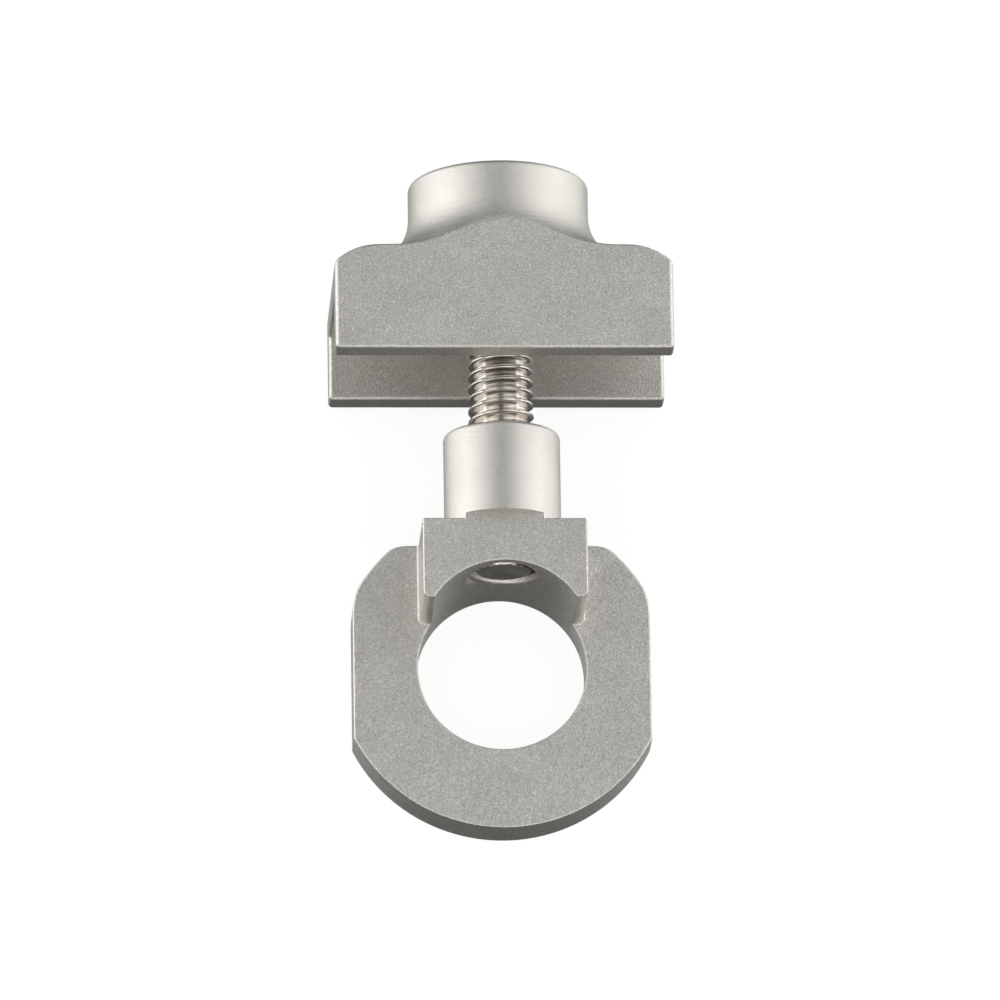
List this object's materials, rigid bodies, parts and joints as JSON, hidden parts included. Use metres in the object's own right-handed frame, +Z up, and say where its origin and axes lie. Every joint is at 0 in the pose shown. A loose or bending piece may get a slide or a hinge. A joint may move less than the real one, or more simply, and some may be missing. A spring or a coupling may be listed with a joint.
{
  "type": "bicycle chain tensioner",
  "caption": "Chain tensioner for a bicycle's rear axle: an eye with a tapped stem, a slotted cap for the dropout's end, and a socket screw that draws the two together.",
  "frame": {"origin": "On the surface that the tensioner lies on, at the middle of its width and of its length at rest", "axes": "+Y along the screw from the axle's bore towards the screw's head, +X across, +Z up from the backs of the plate and the cap, along the bore"},
  "size_m": [0.02, 0.0388, 0.0118],
  "materials": {
    "blasted_aluminium": "fine bead-blasted and clear anodised, matt with a slight sparkle",
    "screw_steel": "bright rolled thread, nickel-coloured",
    "washer_steel": "satin, zinc-coloured"
  },
  "bodies": {
    "eye": {"axle_eye": "blasted_aluminium"},
    "washer": {"thrust_washer": "washer_steel"},
    "screw": {"adjuster_screw": "screw_steel"},
    "cap": {"end_cap": "blasted_aluminium"}
  },
  "joints": [
    {"name": "draw", "type": "slide", "parent": "eye", "child": "washer", "axis": [0, 1, 0], "range_m": [0, 0.0056]},
    {"name": "screw_turn", "type": "hinge", "parent": "washer", "child": "screw", "pos_m": [0, 0.01, 0.0059], "axis": [0, 1, 0], "range_deg": [0, 2880]},
    {"name": "cap_swivel", "type": "hinge", "parent": "washer", "child": "cap", "pos_m": [0, 0.01, 0.0059], "axis": [0, 1, 0], "continuous": true}
  ],
  "couplings": [
    {"joint": "screw_turn", "follows": "draw", "rad_per_m": 8976}
  ]
}
